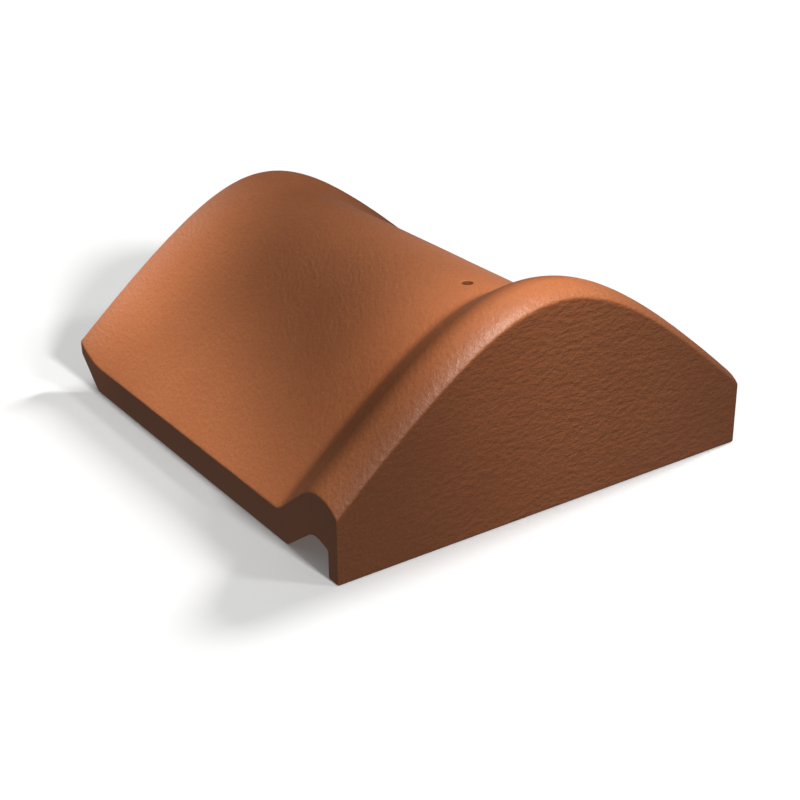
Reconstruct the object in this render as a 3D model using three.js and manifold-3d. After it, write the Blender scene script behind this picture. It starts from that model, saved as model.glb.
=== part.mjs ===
// A ridge tile with one closed end: an arched body whose near end carries a raised roll and is shut
// by a flat plate. Its far end flares out into the lip of a lap joint. Millimetres, +Z up.
// The ridge runs along Y, with the plate at its low end and the lip at its high end. The origin is
// under the middle of the tile, on the plane that the tile stands on.
import * as THREE from "three";
import { mergeVertices } from "three/addons/utils/BufferGeometryUtils.js";
import Module from "manifold-3d";

const wasm = await Module();
wasm.setup();

// The whole tile.
const halfWidth = 135;
const length = 299.4;

// The arch of the body's top surface, a hyperbola: round at the crown, straight at the flanks.
const crownHeight = 105;
const crownRadius = 58.8;
const flankSlope = 0.978;

// Below, "at" is a distance along the tile from the plate's outer face, and "height" is measured
// square to the body's top surface, so that a negative height lies inside the wall.
const wall = 14.2;
const plateThickness = 9.4;

// The roll: an elliptical front that meets the plate at a crease, a round top and a straight back.
const rollTopAt = 17.5;
const rollTopHeight = 19.3;
const rollFrontLength = 20;
const rollFrontHeight = 10;
const rollTopRadius = 29;
const rollBackAngle = THREE.MathUtils.degToRad(31.2);
const valleyRadius = 14;

// The groove under the roll, which opens at both sides of the tile as a notch.
const grooveFrontHeight = -1.3;
const grooveTopAt = 22.5;
const grooveTopHeight = 1.3;
const grooveTopRadius = 16;
const grooveBackAngle = THREE.MathUtils.degToRad(28.8);
const grooveCornerRadius = 10;

// The lip: the top flares up on an arc, and the underside is bevelled back to a thin edge.
const flareAt = 270.5;
const lipHeight = 7;
const bevelAt = 277.5;
const bevelEndHeight = 0.7;
const bevelCornerRadius = 14;

// The screw hole, upright through the crown behind the roll.
const screwHoleAt = 77;
const screwHoleRadius = 3.25;

// How finely round shapes are divided.
const archSteps = 52;
const arcDivisions = 3;
const holeSides = 32;

const slip = 20; // how far a blank runs past the surface that trims it
const sameSpot = 1e-6; // points closer than this are one point

const firedClay = new THREE.MeshStandardMaterial({ color: 0xa8623c, roughness: 0.55, metalness: 0 });
firedClay.name = "fired_clay";

/** The height above the ground of the body's top surface, at a distance x from the centre line. */
function archHeight(x) {
  const a = crownRadius * flankSlope ** 2;
  return crownHeight + a - Math.hypot(a, flankSlope * x);
}

/** The arch as a curve across the tile, running past both sides. */
class ArchCurve extends THREE.Curve {
  getPoint(t, target = new THREE.Vector3()) {
    const x = (2 * t - 1) * (halfWidth + slip);
    return target.set(x, 0, archHeight(x));
  }
}

/** Where a slope that falls from a point at an angle comes down to a height. */
function footOfSlope(top, angle, height) {
  const run = (top.y - height) / Math.tan(angle);
  return new THREE.Vector2(top.x + run, height);
}

/** Takes a path straight on from where it ends and round a corner on an arc, towards a next point. */
function roundCorner(path, corner, next, radius) {
  const before = corner.clone().sub(path.currentPoint).normalize();
  const after = next.clone().sub(corner).normalize();
  const turn = Math.atan2(before.cross(after), before.dot(after));
  const side = Math.sign(turn);
  const setback = radius * Math.tan(Math.abs(turn) / 2);
  const start = corner.clone().addScaledVector(before, -setback);
  const outward = new THREE.Vector2(before.y, -before.x).multiplyScalar(side);
  const centre = start.clone().addScaledVector(outward, -radius);
  path.absarc(centre.x, centre.y, radius, outward.angle(), outward.angle() + turn, side < 0);
}

/** The wall cut along the ridge: x is the distance along the tile and y is the height. */
function wallSection() {
  const section = new THREE.Path();
  const grooveTop = new THREE.Vector2(grooveTopAt, grooveTopHeight);
  const grooveEnd = footOfSlope(grooveTop, grooveBackAngle, -wall);
  const bevelFoot = new THREE.Vector2(bevelAt, -wall);
  const bevelEnd = new THREE.Vector2(length, bevelEndHeight);
  section.moveTo(0, -wall);
  section.lineTo(plateThickness, -wall);
  section.lineTo(plateThickness, grooveFrontHeight);
  roundCorner(section, grooveTop, grooveEnd, grooveTopRadius);
  roundCorner(section, grooveEnd, bevelFoot, grooveCornerRadius);
  roundCorner(section, bevelFoot, bevelEnd, bevelCornerRadius);
  section.lineTo(bevelEnd.x, bevelEnd.y);
  section.lineTo(length, lipHeight);

  const flareLength = length - flareAt;
  const flareRadius = (flareLength ** 2 + lipHeight ** 2) / (2 * lipHeight);
  const flareTurn = Math.asin(flareLength / flareRadius);
  const down = -Math.PI / 2;
  section.absarc(flareAt, flareRadius, flareRadius, down + flareTurn, down, true);

  const shoulderAt = rollTopAt + rollTopRadius * Math.tan(rollBackAngle / 2);
  const shoulder = new THREE.Vector2(shoulderAt, rollTopHeight);
  const valley = footOfSlope(shoulder, rollBackAngle, 0);
  const rollTop = new THREE.Vector2(rollTopAt, rollTopHeight);
  roundCorner(section, valley, shoulder, valleyRadius);
  roundCorner(section, shoulder, rollTop, rollTopRadius);

  const rollCentreHeight = rollTopHeight - rollFrontHeight;
  const creaseAngle = Math.PI - Math.acos(rollTopAt / rollFrontLength);
  section.absellipse(
    rollTopAt, rollCentreHeight, rollFrontLength, rollFrontHeight, Math.PI / 2, creaseAngle, false, 0,
  );
  const points = section.getPoints(arcDivisions);
  return points.filter((point, i) => i === 0 || point.distanceTo(points[i - 1]) > sameSpot);
}

/** The arched wall, swept square to the arch. The sweep's own axes point down and towards -Y. */
function archedWall() {
  const section = wallSection().map((point) => new THREE.Vector2(-point.x, -point.y));
  const path = new ArchCurve();
  return new THREE.ExtrudeGeometry(new THREE.Shape(section), { steps: archSteps, extrudePath: path });
}

/** The flat plate that shuts the near end, up to the middle of the arched wall. */
function endPlate() {
  const reach = halfWidth + slip;
  const outline = new THREE.Shape();
  outline.moveTo(-reach, -slip);
  outline.lineTo(reach, -slip);
  for (let step = 0; step <= archSteps; step += 1) {
    const x = reach * (1 - (2 * step) / archSteps);
    outline.lineTo(x, archHeight(x) - wall / 2);
  }
  const plate = new THREE.ExtrudeGeometry(outline, { depth: plateThickness, bevelEnabled: false });
  return plate.rotateX(Math.PI / 2).translate(0, plateThickness, 0);
}

/** The space that the finished tile may fill: between its two side faces and above the ground. */
function trimBlock() {
  const height = crownHeight + rollTopHeight + slip;
  const block = new THREE.BoxGeometry(2 * halfWidth, length + 2 * slip, height);
  return block.translate(0, length / 2, height / 2);
}

function screwHole() {
  const hole = new THREE.CylinderGeometry(screwHoleRadius, screwHoleRadius, 2 * slip + wall, holeSides);
  return hole.rotateX(Math.PI / 2).translate(0, screwHoleAt, crownHeight - wall / 2);
}

/** A closed geometry as a solid that can be joined and cut. */
function toSolid(geometry) {
  geometry.deleteAttribute("normal");
  geometry.deleteAttribute("uv");
  const merged = mergeVertices(geometry);
  const vertProperties = new Float32Array(merged.attributes.position.array);
  const triVerts = new Uint32Array(merged.index.array);
  return new wasm.Manifold(new wasm.Mesh({ numProp: 3, vertProperties, triVerts }));
}

/** A solid as a geometry that a mesh can show. */
function toGeometry(solid) {
  const { vertProperties, triVerts } = solid.getMesh();
  const geometry = new THREE.BufferGeometry();
  geometry.setAttribute("position", new THREE.BufferAttribute(vertProperties, 3));
  geometry.setIndex(new THREE.BufferAttribute(triVerts, 1));
  geometry.computeVertexNormals();
  return geometry;
}

function ridgeTile() {
  const blank = toSolid(archedWall()).add(toSolid(endPlate()));
  const trimmed = blank.intersect(toSolid(trimBlock()));
  const tile = new THREE.Mesh(toGeometry(trimmed.subtract(toSolid(screwHole()))), firedClay);
  tile.name = "ridge_tile";
  tile.position.y = -length / 2;
  return tile;
}

const object = new THREE.Group();
object.add(ridgeTile());

export default object;
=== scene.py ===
import math

import bmesh
import bpy
import numpy as np
from mathutils import Matrix, Vector, noise


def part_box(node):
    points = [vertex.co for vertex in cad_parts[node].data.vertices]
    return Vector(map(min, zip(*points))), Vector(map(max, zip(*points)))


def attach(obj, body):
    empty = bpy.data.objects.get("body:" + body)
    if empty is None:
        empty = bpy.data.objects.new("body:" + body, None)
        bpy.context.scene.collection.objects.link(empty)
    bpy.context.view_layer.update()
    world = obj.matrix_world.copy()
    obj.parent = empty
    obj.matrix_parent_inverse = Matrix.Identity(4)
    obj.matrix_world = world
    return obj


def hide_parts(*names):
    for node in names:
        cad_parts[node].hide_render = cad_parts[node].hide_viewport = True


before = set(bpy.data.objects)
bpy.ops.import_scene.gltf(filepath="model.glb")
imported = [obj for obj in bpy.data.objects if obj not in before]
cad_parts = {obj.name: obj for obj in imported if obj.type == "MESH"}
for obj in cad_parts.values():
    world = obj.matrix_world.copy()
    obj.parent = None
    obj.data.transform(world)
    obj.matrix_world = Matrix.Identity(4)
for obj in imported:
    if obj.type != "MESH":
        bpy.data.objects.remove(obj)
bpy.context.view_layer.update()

MM = 0.001
NODE = "ridge_tile"

# The tile's outer sizes, from the frame.
tile_low, tile_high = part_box(NODE)
HALF_WIDTH = (tile_high.x - tile_low.x) / 2 / MM
LENGTH = (tile_high.y - tile_low.y) / MM
NEAR_END = tile_low.y / MM

# The arch of the body: a hyperbola, round at the crown and straight at the flanks.
CROWN_HEIGHT = 105
CROWN_RADIUS = 58.8
FLANK_SLOPE = 0.978
ARCH_SHAPE = CROWN_RADIUS * FLANK_SLOPE**2

WALL = 14.2
PLATE = 9.4

# The roll: an elliptical front from the plate's crease, a round top and a straight back.
ROLL_TOP_ALONG = 17.5
ROLL_TOP_RISE = 19.3
ROLL_FRONT_LENGTH = 20
ROLL_FRONT_HEIGHT = 10
ROLL_TOP_RADIUS = 29
ROLL_BACK_ANGLE = math.radians(31.2)
VALLEY_RADIUS = 14

# The groove under the roll.
GROOVE_FRONT_RISE = -1.3
GROOVE_TOP = (22.5, 1.3)
GROOVE_TOP_RADIUS = 16
GROOVE_BACK_ANGLE = math.radians(28.8)
GROOVE_CORNER_RADIUS = 10

# The lip: flared above, bevelled below.
FLARE_ALONG = 270.5
LIP_RISE = 7
BEVEL_ALONG = 277.5
BEVEL_END_RISE = 0.7
BEVEL_CORNER_RADIUS = 14

# The screw hole, upright through the crown.
HOLE_ALONG = 77
HOLE_RADIUS = 3.25
HOLE_RIM_RADIUS = 0.5
HOLE_PATCH = 5.6       # half the side of the square of mesh that the hole is set in
HOLE_PATCH_CELLS = 8

# How soft the edges are.
EDGE_SOFTNESS = 0.7    # spread of the smoothing that rounds the edges of each slice
SIDE_ROUNDING = 0.6    # radius of the edges round the two side faces
SIDE_SOFTNESS = 1.0    # spread of the smoothing at the side faces themselves

# How fine the mesh is.
STATION_STEP = 1.36    # across the tile
TOP_STEP = 1.45        # along the top
SOFFIT_STEP = 4.0      # along the plain part of the underside
CORNER_STEPS = (0.0, 0.4, 0.8, 1.3, 1.9)   # first points on each side of an edge
COARSER = 1.5          # how much wider the steps are in the groove and on the bevel than along the top
FACE_ROWS = 58         # rows up the plate's outer face
INNER_ROWS = 22        # rows down its inner face
LIP_ROWS = 2           # rows down the end face of the lip, without those near its edges
BASE_ROWS = 3          # the same under the plate
ARC_STEPS = 24
OUTLINE_STEP = 0.2     # between the points that an outline is smoothed at
FOOT_ROUNDS = 40       # rounds in which surface_height finds its foot point
MARGIN = 0.01          # so that a line on the edge of the hole's patch counts as in it

# The fine relief of the moulded skin, in the mesh itself.
FINE_SIZE = 4.5
FINE_HEIGHT = 0.05
BROAD_SIZE = 38
BROAD_HEIGHT = 0.12
RELIEF_FADE = 3        # how far from the ground and the side faces it reaches its full height


# ---- The section along the ridge ----

def arc(centre, radius, start, turn):
    """Points on an arc that starts at an angle and goes round by a turn."""
    angles = start + turn * np.linspace(0, 1, ARC_STEPS + 1)
    return [(centre[0] + radius * math.cos(a), centre[1] + radius * math.sin(a)) for a in angles]


def rounded_corner(before, corner, after, radius):
    """The arc that rounds the corner of a line that goes from one point to the next."""
    before, corner, after = Vector(before), Vector(corner), Vector(after)
    heading, leaving = (corner - before).normalized(), (after - corner).normalized()
    turn = math.atan2(heading.x * leaving.y - heading.y * leaving.x, heading.dot(leaving))
    start = corner - heading * radius * math.tan(abs(turn) / 2)
    outward = Vector((heading.y, -heading.x)) * math.copysign(1, turn)
    centre = start - outward * radius
    return arc(centre, radius, math.atan2(outward.y, outward.x), turn)


def foot_of_slope(top, angle, rise):
    """Where a slope that falls from a point comes down to a rise."""
    return (top[0] + (top[1] - rise) / math.tan(angle), rise)


def top_outline():
    """The outer surface from the plate's crease to the lip: lists of along and rise."""
    front_angle = math.acos(ROLL_TOP_ALONG / ROLL_FRONT_LENGTH)
    angles = np.linspace(math.pi - front_angle, math.pi / 2, ARC_STEPS + 1)
    centre_rise = ROLL_TOP_RISE - ROLL_FRONT_HEIGHT
    front = [
        (ROLL_TOP_ALONG + ROLL_FRONT_LENGTH * math.cos(a), centre_rise + ROLL_FRONT_HEIGHT * math.sin(a))
        for a in angles
    ]
    roll_top = (ROLL_TOP_ALONG, ROLL_TOP_RISE)
    shoulder = (ROLL_TOP_ALONG + ROLL_TOP_RADIUS * math.tan(ROLL_BACK_ANGLE / 2), ROLL_TOP_RISE)
    valley = foot_of_slope(shoulder, ROLL_BACK_ANGLE, 0)
    back = rounded_corner(roll_top, shoulder, valley, ROLL_TOP_RADIUS)
    trough = rounded_corner(shoulder, valley, (FLARE_ALONG, 0), VALLEY_RADIUS)

    run = LENGTH - FLARE_ALONG
    radius = (run**2 + LIP_RISE**2) / (2 * LIP_RISE)
    flare = arc((FLARE_ALONG, radius), radius, -math.pi / 2, math.asin(run / radius))
    return np.array(front + back + trough + flare).T


def soffit_outline():
    """The inner surface from the plate's inner face to the lip: lists of along and rise."""
    groove_front = (PLATE, GROOVE_FRONT_RISE)
    groove_end = foot_of_slope(GROOVE_TOP, GROOVE_BACK_ANGLE, -WALL)
    bevel_foot = (BEVEL_ALONG, -WALL)
    bevel_end = (LENGTH, BEVEL_END_RISE)
    points = [groove_front]
    points += rounded_corner(groove_front, GROOVE_TOP, groove_end, GROOVE_TOP_RADIUS)
    points += rounded_corner(GROOVE_TOP, groove_end, bevel_foot, GROOVE_CORNER_RADIUS)
    points += rounded_corner(groove_end, bevel_foot, bevel_end, BEVEL_CORNER_RADIUS)
    points.append(bevel_end)
    return np.array(points).T


TOP = top_outline()
SOFFIT = soffit_outline()


# ---- The surfaces across the ridge ----

def arch_height(x):
    """Height of the body's top surface at a distance from the centre line."""
    return CROWN_HEIGHT + ARCH_SHAPE - np.hypot(ARCH_SHAPE, FLANK_SLOPE * x)


def surface_height(x, rise):
    """Height of the surface that lies at a rise from the body's top surface."""
    foot = x
    for _ in range(FOOT_ROUNDS):
        fall = FLANK_SLOPE**2 * foot / np.hypot(ARCH_SHAPE, FLANK_SLOPE * foot)
        foot = x - rise * fall / np.hypot(1, fall)
    fall = FLANK_SLOPE**2 * foot / np.hypot(ARCH_SHAPE, FLANK_SLOPE * foot)
    return arch_height(foot) + rise / np.hypot(1, fall)


def top_height(x, along):
    return surface_height(x, np.interp(along, *TOP))


def soffit_height(x, along):
    return np.maximum(surface_height(x, np.interp(along, *SOFFIT)), 0)


# ---- Slices across the ridge ----

def spaced(start, end, count):
    """Distances from start to end: close together near both, and even between."""
    near = np.array(CORNER_STEPS)
    inner = np.linspace(start + near[-1], end - near[-1], count)
    return np.concatenate((start + near[:-1], inner, end - near[-2::-1]))


def with_hole_patch(lines, at):
    """Swaps the lines that cross the hole's patch for evenly spaced ones."""
    patch = at + HOLE_PATCH * np.linspace(-1, 1, HOLE_PATCH_CELLS + 1)
    gap = 0.5 * HOLE_PATCH / HOLE_PATCH_CELLS
    outside = lines[(lines < patch[0] - gap) | (lines > patch[-1] + gap)]
    return np.sort(np.concatenate((outside, patch)))


def top_lines():
    count = round(LENGTH / TOP_STEP)
    return with_hole_patch(spaced(0, LENGTH, count), HOLE_ALONG)


def soffit_lines():
    """Lines across the underside: close in the groove and on the bevel, wide between."""
    groove_end = foot_of_slope(GROOVE_TOP, GROOVE_BACK_ANGLE, -WALL)[0] + CORNER_STEPS[-1]
    middle_count = round((BEVEL_ALONG - groove_end) / SOFFIT_STEP)
    groove = spaced(PLATE, groove_end, round((groove_end - PLATE) / TOP_STEP / COARSER))
    middle = np.linspace(groove_end, BEVEL_ALONG - SOFFIT_STEP, middle_count)[1:]
    bevel = spaced(BEVEL_ALONG, LENGTH, round((LENGTH - BEVEL_ALONG) / TOP_STEP / COARSER))
    return with_hole_patch(np.concatenate((groove, middle, bevel)), HOLE_ALONG)


TOP_LINES = top_lines()
SOFFIT_LINES = soffit_lines()


def raw_slice(x):
    """The tile's outline in the upright plane at x: a closed loop of (along, height) points."""
    face = spaced(0, top_height(x, 0.0), FACE_ROWS)
    top = top_height(x, TOP_LINES)
    soffit = soffit_height(x, SOFFIT_LINES)
    lip = spaced(0, top[-1] - soffit[-1], LIP_ROWS)
    inner = spaced(0, soffit[0], INNER_ROWS)
    base = spaced(0, PLATE, BASE_ROWS)
    chains = (
        (np.zeros_like(face), face),
        (TOP_LINES, top),
        (np.full_like(lip, LENGTH), top[-1] - lip),
        (SOFFIT_LINES[::-1], soffit[::-1]),
        (np.full_like(inner, PLATE), soffit[0] - inner),
        (PLATE - base, np.zeros_like(base)),
    )
    return np.concatenate([np.stack(chain, axis=1)[:-1] for chain in chains])


def softened(loop, spread):
    """The same loop with its edges rounded: it is smoothed evenly along its length."""
    closed = np.vstack((loop, loop[:1]))
    reach = np.concatenate(([0], np.cumsum(np.linalg.norm(np.diff(closed, axis=0), axis=1))))
    count = int(reach[-1] / OUTLINE_STEP)
    even = np.arange(count) * reach[-1] / count
    dense = np.stack([np.interp(even, reach, closed[:, axis]) for axis in (0, 1)], axis=1)
    half = int(4 * spread / OUTLINE_STEP)
    weights = np.exp(-0.5 * (np.arange(-half, half + 1) * OUTLINE_STEP / spread) ** 2)
    weights /= weights.sum()
    padded = np.vstack((dense[-half:], dense, dense[:half]))
    smooth = np.stack([np.convolve(padded[:, axis], weights, "valid") for axis in (0, 1)], axis=1)
    smooth = np.vstack((smooth, smooth[:1]))
    places = np.append(even, reach[-1])
    return np.stack([np.interp(reach[:-1], places, smooth[:, axis]) for axis in (0, 1)], axis=1)


def shrunk(loop, inset):
    """The loop moved inwards by an inset."""
    ahead = np.roll(loop, -1, axis=0) - np.roll(loop, 1, axis=0)
    ahead /= np.linalg.norm(ahead, axis=1, keepdims=True)
    return loop + inset * np.stack((ahead[:, 1], -ahead[:, 0]), axis=1)


def finished_slice(x, inset):
    """The outline at x with soft edges, moved inwards where the side faces' edges are rounded."""
    spread = EDGE_SOFTNESS + (SIDE_SOFTNESS - EDGE_SOFTNESS) * inset / SIDE_ROUNDING
    return shrunk(softened(raw_slice(x), spread), inset)


def stations():
    """Where the slices are: (distance from the centre line, inset) from the left side to the right."""
    reach = HALF_WIDTH - SIDE_ROUNDING
    half_count = round(reach / STATION_STEP)
    inner = with_hole_patch(np.linspace(-reach, reach, 2 * half_count + 1), 0)
    side = []
    for angle in np.radians((22.5, 45, 67.5, 90)):
        side.append((reach + SIDE_ROUNDING * math.sin(angle), SIDE_ROUNDING * (1 - math.cos(angle))))
    left = [(-x, inset) for x, inset in reversed(side)]
    return left + [(x, 0.0) for x in inner] + side


# ---- The mesh ----

def block_edge(columns, rows):
    """The grid places round the edge of a block, in order."""
    first, last = columns[0], columns[-1]
    places = [(i, rows[0]) for i in columns]
    places += [(last, k) for k in rows[1:]]
    places += [(i, rows[-1]) for i in reversed(columns[:-1])]
    places += [(first, k) for k in reversed(rows[1:-1])]
    return places


def ring_faces(outer, inner):
    """Faces between two rings with the same number of points."""
    count = len(outer)
    return [(outer[n], outer[(n + 1) % count], inner[(n + 1) % count], inner[n]) for n in range(count)]


def collar(points, edge, surface, inwards):
    """Adds the points from a square patch's edge to the hole's rim and round it. Returns their rings."""
    centre = np.array((0.0, HOLE_ALONG))
    square = np.array([points[index][:2] for index in edge])
    spokes = square - centre
    spokes /= np.linalg.norm(spokes, axis=1, keepdims=True)
    rim = centre + spokes * (HOLE_RADIUS + HOLE_RIM_RADIUS)
    rings = [edge]

    def add_ring(flat, drop):
        heights = surface(flat[:, 0], flat[:, 1]) - inwards * drop
        rings.append([len(points) + n for n in range(len(flat))])
        points.extend(np.column_stack((flat, heights)))

    for share in (0.4, 0.7, 0.88, 1.0):
        add_ring(square + (rim - square) * share, 0.0)
    for angle in np.radians((30, 60, 90)):
        radius = HOLE_RADIUS + HOLE_RIM_RADIUS * (1 - math.sin(angle))
        add_ring(centre + spokes * radius, HOLE_RIM_RADIUS * (1 - math.cos(angle)))
    return rings


def in_hole_patch(lines, at):
    """The numbers of the lines that cross the hole's patch."""
    return [k for k, line in enumerate(lines) if abs(line - at) < HOLE_PATCH + MARGIN]


def tile_shape():
    """Points and faces of the whole tile. The slices' points come first, and then the hole's."""
    places = stations()
    slices = [finished_slice(x, inset) for x, inset in places]
    rows = len(slices[0])
    points = [(x, along, height) for (x, _), loop in zip(places, slices) for along, height in loop]

    columns = in_hole_patch([x for x, _ in places], 0)
    top_start = len(spaced(0, 1, FACE_ROWS)) - 1
    lip_rows = len(spaced(0, 1, LIP_ROWS)) - 1
    soffit_end = top_start + len(TOP_LINES) - 1 + lip_rows + len(SOFFIT_LINES) - 1
    top_rows = [top_start + k for k in in_hole_patch(TOP_LINES, HOLE_ALONG)]
    soffit_rows = [soffit_end - k for k in in_hole_patch(SOFFIT_LINES, HOLE_ALONG)]

    skipped = set()
    for block in (top_rows, soffit_rows):
        skipped.update((i, k) for i in columns[:-1] for k in range(min(block), max(block)))
    faces = []
    for i in range(len(places) - 1):
        for k in range(rows):
            if (i, k) not in skipped:
                ahead = (k + 1) % rows
                here, beside = i * rows, (i + 1) * rows
                faces.append((here + k, here + ahead, beside + ahead, beside + k))
    faces.append(tuple(range(rows)))
    faces.append(tuple((len(places) - 1) * rows + k for k in range(rows)))

    top_edge = [i * rows + k for i, k in block_edge(columns, top_rows)]
    soffit_edge = [i * rows + k for i, k in block_edge(columns, soffit_rows)]
    upper = collar(points, top_edge, top_height, 1)
    lower = collar(points, soffit_edge, soffit_height, -1)
    for rings in (upper, lower, [upper[-1], lower[-1]]):
        for outer, inner in zip(rings, rings[1:]):
            faces += ring_faces(outer, inner)
    return np.array(points), faces


def finish_mesh(mesh):
    """Drops unused points, splits the two side faces into triangles and turns every face outwards."""
    shape = bmesh.new()
    shape.from_mesh(mesh)
    bmesh.ops.delete(shape, geom=[v for v in shape.verts if not v.link_faces], context="VERTS")
    for face in shape.faces:
        face.smooth = len(face.verts) <= 4
    bmesh.ops.triangulate(shape, faces=[face for face in shape.faces if len(face.verts) > 4])
    bmesh.ops.recalc_face_normals(shape, faces=shape.faces)
    shape.to_mesh(mesh)
    shape.free()


def grain_relief(place):
    """Height of the moulded skin's fine relief at a point, in millimetres."""
    fine = noise.fractal(Vector(place) / FINE_SIZE, 0.7, 2.0, 2)
    broad = noise.noise(Vector(place) / BROAD_SIZE)
    return FINE_HEIGHT * fine + BROAD_HEIGHT * broad


def roughen(mesh):
    """Moves the points in and out by the fine relief, apart from the ground and the side faces."""
    count = len(mesh.vertices)
    places = np.empty(count * 3)
    normals = np.empty(count * 3)
    mesh.vertices.foreach_get("co", places)
    mesh.vertex_normals.foreach_get("vector", normals)
    places, normals = places.reshape(-1, 3), normals.reshape(-1, 3)
    millimetres = places / MM
    relief = np.array([grain_relief(place) for place in millimetres])
    for clear in (HALF_WIDTH - np.abs(millimetres[:, 0]), millimetres[:, 2]):
        relief *= np.clip(clear / RELIEF_FADE, 0, 1)
    places += normals * (relief * MM)[:, None]
    mesh.vertices.foreach_set("co", places.ravel())
    mesh.update()


def make_tile():
    points, faces = tile_shape()
    points = (points + (0, NEAR_END, 0)) * MM
    mesh = bpy.data.meshes.new("moulded_tile")
    mesh.from_pydata(points.tolist(), [], faces)
    finish_mesh(mesh)
    roughen(mesh)
    tile = bpy.data.objects.new("moulded_tile", mesh)
    bpy.context.collection.objects.link(tile)
    return tile


# ---- Materials ----

class Nodes:
    """Adds nodes to a material or a world and links them, in few words."""

    def __init__(self, owner, shader):
        owner.use_nodes = True
        self.tree = owner.node_tree
        self.shader = self.tree.nodes[shader]

    def add(self, kind, settings=None, **inputs):
        node = self.tree.nodes.new(kind)
        for key, value in (settings or {}).items():
            setattr(node, key, value)
        for key, value in inputs.items():
            self.set(node, key.replace("_", " "), value)
        return node

    def set(self, node, key, value):
        socket = node.inputs[key]
        if isinstance(value, bpy.types.NodeSocket):
            self.tree.links.new(value, socket)
        else:
            socket.default_value = value

    def noise(self, place, size, detail, roughness):
        """A noise whose features are about this size in metres."""
        made = self.add("ShaderNodeTexNoise", Vector=place, Scale=1 / size)
        self.set(made, "Detail", detail)
        self.set(made, "Roughness", roughness)
        return made.outputs["Fac"]

    def ramp(self, value, low, high, to_low=0.0, to_high=1.0):
        """A value that goes evenly from one number to another while the given one goes from low to high."""
        made = self.add("ShaderNodeMapRange", {"clamp": True}, Value=value)
        limits = {"From Min": low, "From Max": high, "To Min": to_low, "To Max": to_high}
        for key, number in limits.items():
            self.set(made, key, number)
        return made.outputs["Result"]

    def math(self, operation, first, second=0.0):
        made = self.add("ShaderNodeMath", {"operation": operation})
        self.set(made, 0, first)
        self.set(made, 1, second)
        return made.outputs[0]

    def blend(self, share, first, second):
        """A number between two: the first where share is 0, and the second where it is 1."""
        made = self.add("ShaderNodeMix", {"data_type": "FLOAT"})
        self.set(made, 0, share)
        self.set(made, 2, first)
        self.set(made, 3, second)
        return made.outputs[0]

    def mix(self, share, first, second):
        """The same for two colours."""
        made = self.add("ShaderNodeMix", {"data_type": "RGBA"})
        self.set(made, 0, share)
        self.set(made, 6, first)
        self.set(made, 7, second)
        return made.outputs[2]

    def bump(self, height, distance, strength, normal=None):
        made = self.add("ShaderNodeBump", Height=height, Distance=distance, Strength=strength)
        if normal is not None:
            self.set(made, "Normal", normal)
        return made.outputs["Normal"]


CLAY = (0.25, 0.079, 0.026, 1)
CLAY_DARK = (0.222, 0.069, 0.023, 1)      # the specks
CLAY_PALE = (0.272, 0.089, 0.030, 1)      # the clouds
CLAY_SIDE_SHADE = (0.17, 0.056, 0.0185, 1)       # painted shade on the two side faces
CLAY_EDGE_PALE = (0.33, 0.118, 0.040, 1)       # paler on the sharp outer edges
CLAY_SHADED = (0.12, 0.038, 0.013, 1)     # painted shade on the slope behind the roll

# Sizes and depths of what the skin shows, in metres.
CLOUD_SIZE = 0.040
SPECK_SIZE = 0.0013
SHEEN_SIZE = 0.0022
GRAIN_SIZE = 0.0024
GRAIN_DEPTH = 0.0008
PORE_SIZE = 0.0007
PORE_DEPTH = 0.00008

GRAIN_STRETCH = 2.0    # how much longer than wide the wrinkles are
BODY_GRAIN_TURN = math.radians(57.5)   # of the body's wrinkles, from straight across the tile
SHEEN_ROUGHNESS = (0.43, 0.55)
CUT_ROUGHNESS = 0.62

# Lamps alone leave the slope behind the roll lighter than in the photo, so the clay is darker there.
# Where that band starts, is full, starts to fade and ends: along, in millimetres.
SHADED_BAND = (15, 29, 47, 60)


def wrinkles(nodes, place, turn):
    """A noise drawn out along a level direction."""
    made = nodes.add("ShaderNodeMapping", {"vector_type": "TEXTURE"}, Vector=place)
    nodes.set(made, "Rotation", (0, 0, turn))
    nodes.set(made, "Scale", (GRAIN_STRETCH, 1, 1))
    return nodes.noise(made.outputs["Vector"], GRAIN_SIZE, 3, 0.55)


def facing(nodes, axis, low, high, sign=1):
    """1 where the surface faces along an axis, or against it for sign -1, or either way for sign 0."""
    normal = nodes.add("ShaderNodeTexCoord").outputs["Normal"]
    along = nodes.add("ShaderNodeSeparateXYZ", Vector=normal).outputs[axis]
    if sign == 0:
        along = nodes.math("ABSOLUTE", along)
    elif sign < 0:
        along = nodes.math("MULTIPLY", along, -1)
    return nodes.ramp(along, low, high)


def painted_shade_band(nodes, place):
    """Where shade is painted: 1 on the straight slope behind the roll, fading out over the roll's top and
    past the valley.
    """
    along = nodes.add("ShaderNodeSeparateXYZ", Vector=place).outputs["Y"]
    start, full, fading, end = ((NEAR_END + at) * MM for at in SHADED_BAND)
    rising = nodes.ramp(along, start, full)
    falling = nodes.ramp(along, fading, end, 1.0, 0.0)
    upper_side = facing(nodes, "Z", 0.2, 0.4)
    return nodes.math("MULTIPLY", nodes.math("MULTIPLY", rising, falling), upper_side)


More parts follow.
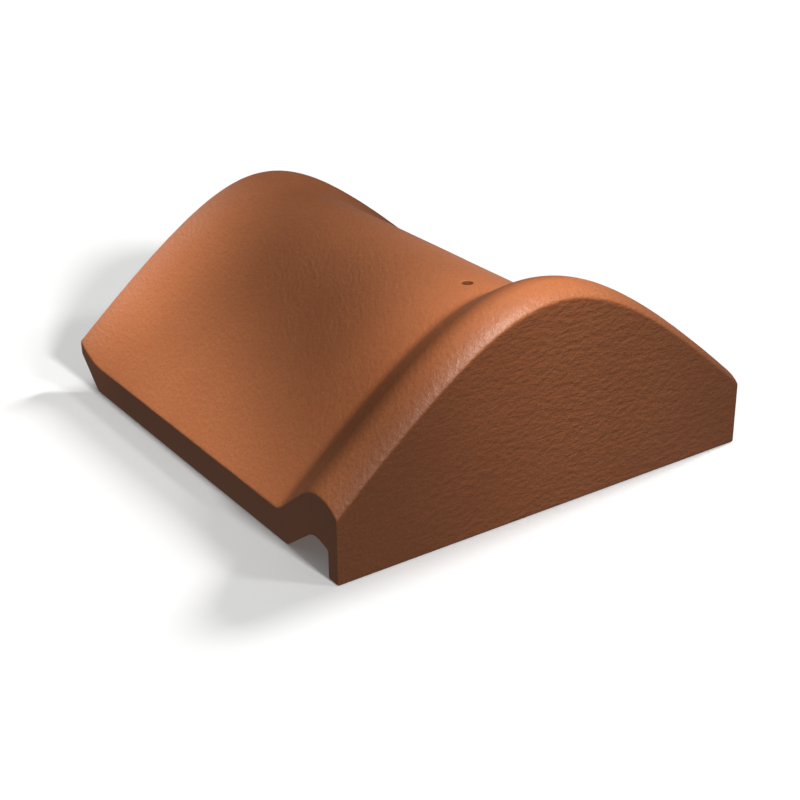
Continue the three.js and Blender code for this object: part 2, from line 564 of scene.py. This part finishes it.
def clay_material():
    """Terracotta with a satin skin: clouded colour, a leathery grain, paler edges, and painted shade on the
    side faces and on the slope behind the roll.
    """
    material = bpy.data.materials.new("fired_clay_skin")
    nodes = Nodes(material, "Principled BSDF")
    place = nodes.add("ShaderNodeTexCoord").outputs["Object"]
    cut_side = facing(nodes, "X", 0.93, 0.98, 0)
    plate_face = facing(nodes, "Y", 0.90, 0.98, -1)

    clouds = nodes.ramp(nodes.noise(place, CLOUD_SIZE, 4, 0.6), 0.35, 0.65)
    specks = nodes.ramp(nodes.noise(place, SPECK_SIZE, 2, 0.6), 0.38, 0.60)
    edges = nodes.ramp(nodes.add("ShaderNodeNewGeometry").outputs["Pointiness"], 0.515, 0.60)
    colour = nodes.mix(clouds, CLAY, CLAY_PALE)
    colour = nodes.mix(specks, CLAY_DARK, colour)
    # painted shade on the slope behind the roll
    colour = nodes.mix(painted_shade_band(nodes, place), colour, CLAY_SHADED)
    # painted shade on the two side faces
    colour = nodes.mix(cut_side, colour, CLAY_SIDE_SHADE)
    colour = nodes.mix(edges, colour, CLAY_EDGE_PALE)
    nodes.set(nodes.shader, "Base Color", colour)

    sheen = nodes.ramp(nodes.noise(place, SHEEN_SIZE, 3, 0.55), 0.25, 0.75, *SHEEN_ROUGHNESS)
    nodes.set(nodes.shader, "Roughness", nodes.blend(cut_side, sheen, CUT_ROUGHNESS))
    nodes.set(nodes.shader, "Specular IOR Level", 0.4)

    body_grain = wrinkles(nodes, place, BODY_GRAIN_TURN)
    face_grain = wrinkles(nodes, place, 0)
    grain = nodes.blend(plate_face, body_grain, face_grain)
    grain = nodes.blend(cut_side, grain, 0.5)
    pores = nodes.noise(place, PORE_SIZE, 2, 0.5)
    normal = nodes.bump(grain, GRAIN_DEPTH, 0.6)
    normal = nodes.bump(pores, PORE_DEPTH, 0.4, normal)
    nodes.set(nodes.shader, "Normal", normal)
    return material


FLOOR_WHITE = (0.75, 0.75, 0.745, 1)
FLOOR_GLOW = 0.12
FLOOR_HALF = 40.0      # metres
FLOOR_GAP = 0.0002     # below the tile, so that the two surfaces don't coincide


def floor_material():
    """A dull white with a faint glow, which keeps the shadow pale."""
    material = bpy.data.materials.new("studio_floor")
    nodes = Nodes(material, "Principled BSDF")
    nodes.set(nodes.shader, "Base Color", FLOOR_WHITE)
    nodes.set(nodes.shader, "Roughness", 0.9)
    nodes.set(nodes.shader, "Specular IOR Level", 0.0)
    nodes.set(nodes.shader, "Emission Color", FLOOR_WHITE)
    nodes.set(nodes.shader, "Emission Strength", FLOOR_GLOW)
    return material


# ---- The studio ----

def make_floor():
    """A plain pale floor, large enough for views from above. It throws no light back onto the tile."""
    mesh = bpy.data.meshes.new("floor")
    corners = [(-1, -1), (1, -1), (1, 1), (-1, 1)]
    mesh.from_pydata([(x * FLOOR_HALF, y * FLOOR_HALF, 0) for x, y in corners], [], [(0, 1, 2, 3)])
    mesh.materials.append(floor_material())
    floor = bpy.data.objects.new("floor", mesh)
    floor.location.z = -FLOOR_GAP
    floor.visible_diffuse = False
    floor.visible_glossy = False
    floor.visible_shadow = False
    bpy.context.collection.objects.link(floor)
    return floor


def direction(azimuth, elevation):
    """Unit vector that points from the object to a place seen at these angles in degrees."""
    azimuth, elevation = math.radians(azimuth), math.radians(elevation)
    level = math.cos(elevation)
    return Vector((math.sin(azimuth) * level, -math.cos(azimuth) * level, math.sin(elevation)))


def lit_only(name, piece):
    """A group that a light can be limited to."""
    group = bpy.data.collections.new(name)
    group.objects.link(piece)
    return group


SPOT_DISTANCE = 1.0
SPOT_RADIUS = 0.06
STRIP_DISTANCE = 0.6
STRIP_SPREAD = math.radians(12)
SUN_DISTANCE = 2.0     # only where the sun's object is put: its light is the same at any distance
FRONT_SOFTNESS = math.radians(12)
FLOOR_SOFTNESS = math.radians(8)
WARM = (1.0, 0.80, 0.60)


def add_light(name, kind, lit, aim, azimuth, elevation, distance, power, turn=0, **settings):
    """A lamp aimed at a point from a direction. It lights one group, and the tile casts its shadow."""
    light = bpy.data.lights.new(name, kind)
    light.energy = power
    for key, value in settings.items():
        setattr(light, key, value)
    lamp = bpy.data.objects.new(name, light)
    away = direction(azimuth, elevation)
    run = Vector((math.sin(math.radians(turn)), math.cos(math.radians(turn)), 0))
    side = run.cross(away).normalized()
    turned = Matrix((side, away.cross(side), away)).transposed().to_4x4()
    lamp.matrix_world = Matrix.Translation(Vector(aim) + away * distance) @ turned
    bpy.context.collection.objects.link(lamp)
    lamp.visible_camera = False
    lamp.light_linking.receiver_collection = lit


def add_spot(name, lit, aim, azimuth, elevation, power, cone, color=(1, 1, 1)):
    """A spotlight with a wholly soft edge, whose cone is given in degrees."""
    add_light(
        name, "SPOT", lit, aim, azimuth, elevation, SPOT_DISTANCE, power,
        spot_size=math.radians(cone), spot_blend=1.0, shadow_soft_size=SPOT_RADIUS, color=color,
    )


def add_strip(name, lit, aim, azimuth, elevation, power, size, turn):
    """A long softbox with a grid, whose light stays in a strip."""
    add_light(
        name, "AREA", lit, aim, azimuth, elevation, STRIP_DISTANCE, power, turn,
        shape="RECTANGLE", size=size[0], size_y=size[1], spread=STRIP_SPREAD,
    )


def add_sun(name, lit, azimuth, elevation, power, softness):
    add_light(name, "SUN", lit, (0, 0, 0), azimuth, elevation, SUN_DISTANCE, power, angle=softness)


# Each lamp below has its group, the point it is aimed at in metres, and then the azimuth and the
# elevation that it is seen at from there, in degrees. A sun has no point to be aimed at.

def light_left_flank(lit):
    """Two strips from overhead along the left flank, and one on the left of the lip."""
    flank, lip = (0.08, 0.34), (0.04, 0.15)
    add_strip("flank_strip", lit, (-0.145, 0.02, 0.04), 0, 90, power=0.078, size=flank, turn=8)
    add_strip("flank_strip_slanted", lit, (-0.142, 0.02, 0.04), 0, 90, power=0.090, size=flank, turn=22)
    add_strip("lip_strip", lit, (-0.09, 0.14, 0.08), -60, 50, power=0.025, size=lip, turn=90)


def light_top(lit):
    """Pools on the right of the lip, the roll, the crown and the right side, and a sun on all of it."""
    add_spot("lip_right_spot", lit, (0.05, 0.14, 0.10), 60, 45, power=21, cone=9)
    add_spot("roll_spot", lit, (0.03, -0.13, 0.12), -45, 76, power=88, cone=12)
    add_spot("roll_glint_spot", lit, (-0.028, -0.128, 0.116), -4, 76, power=68, cone=5.5, color=WARM)
    add_spot("roll_right_spot", lit, (-0.05, -0.13, 0.11), 40, 58, power=9, cone=8)
    add_spot("crown_spot", lit, (0.03, 0.02, 0.10), 78, 55, power=26, cone=12)
    add_spot("right_spot", lit, (0.06, -0.03, 0.09), 90, 35, power=38, cone=12)
    add_sun("front_key", lit, -22, 59, power=1.65, softness=FRONT_SOFTNESS)


def light_floor(lit):
    """Three suns, whose shadows of the tile fall to its left, its back left and its back."""
    add_sun("floor_key_right", lit, 94, 34.9, power=2.6, softness=FLOOR_SOFTNESS)
    add_sun("floor_key_corner", lit, 45, 38, power=0.7, softness=FLOOR_SOFTNESS)
    add_sun("floor_key_front", lit, 3, 28, power=2.9, softness=FLOOR_SOFTNESS)


SKY_STRENGTH = 0.42
BOUNCE_STRENGTH = 0.26


def make_world():
    """A sky that is bright overhead and falls away to the sides, and a dim glow from below."""
    world = bpy.data.worlds.new("studio")
    nodes = Nodes(world, "Background")
    place = nodes.add("ShaderNodeTexCoord").outputs["Generated"]
    upward = nodes.add("ShaderNodeSeparateXYZ", Vector=place).outputs["Z"]
    fall_off = nodes.math("POWER", nodes.math("MAXIMUM", upward, 0.0), 2.0)
    sky = nodes.math("MULTIPLY", fall_off, SKY_STRENGTH)
    below = nodes.math("MULTIPLY", nodes.math("LESS_THAN", upward, 0.0), BOUNCE_STRENGTH)
    nodes.set(nodes.shader, "Color", (1, 1, 1, 1))
    nodes.set(nodes.shader, "Strength", nodes.math("ADD", sky, below))
    bpy.context.scene.world = world


CAMERA_AZIMUTH = -34.19
CAMERA_ELEVATION = 25.42
CAMERA_ROLL = -0.64
CAMERA_TARGET = (-0.0515, -0.0822, 0.0524)
CAMERA_DISTANCE = 0.8489
CAMERA_LENS = 71.27
CAMERA_SENSOR = 36     # width in millimetres


def make_camera():
    """The camera at the photo's angle: upright apart from a slight roll."""
    camera = bpy.data.objects.new("camera", bpy.data.cameras.new("camera"))
    camera.data.sensor_width = CAMERA_SENSOR
    camera.data.lens = CAMERA_LENS
    camera.data.clip_start = 0.01
    camera.data.clip_end = 50
    away = direction(CAMERA_AZIMUTH, CAMERA_ELEVATION)
    turn = away.to_track_quat("Z", "Y").to_matrix().to_4x4()
    roll = Matrix.Rotation(math.radians(CAMERA_ROLL), 4, "Z")
    place = Matrix.Translation(Vector(CAMERA_TARGET) + away * CAMERA_DISTANCE)
    camera.matrix_world = place @ turn @ roll
    bpy.context.collection.objects.link(camera)
    bpy.context.scene.camera = camera


make_camera()
tile = make_tile()
tile.data.materials.append(clay_material())
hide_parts(NODE)
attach(tile, "root")
floor = make_floor()
lit_tile = lit_only("lit_tile", tile)
light_left_flank(lit_tile)
light_top(lit_tile)
light_floor(lit_only("lit_floor", floor))
make_world()
bpy.context.scene.view_settings.view_transform = "Standard"
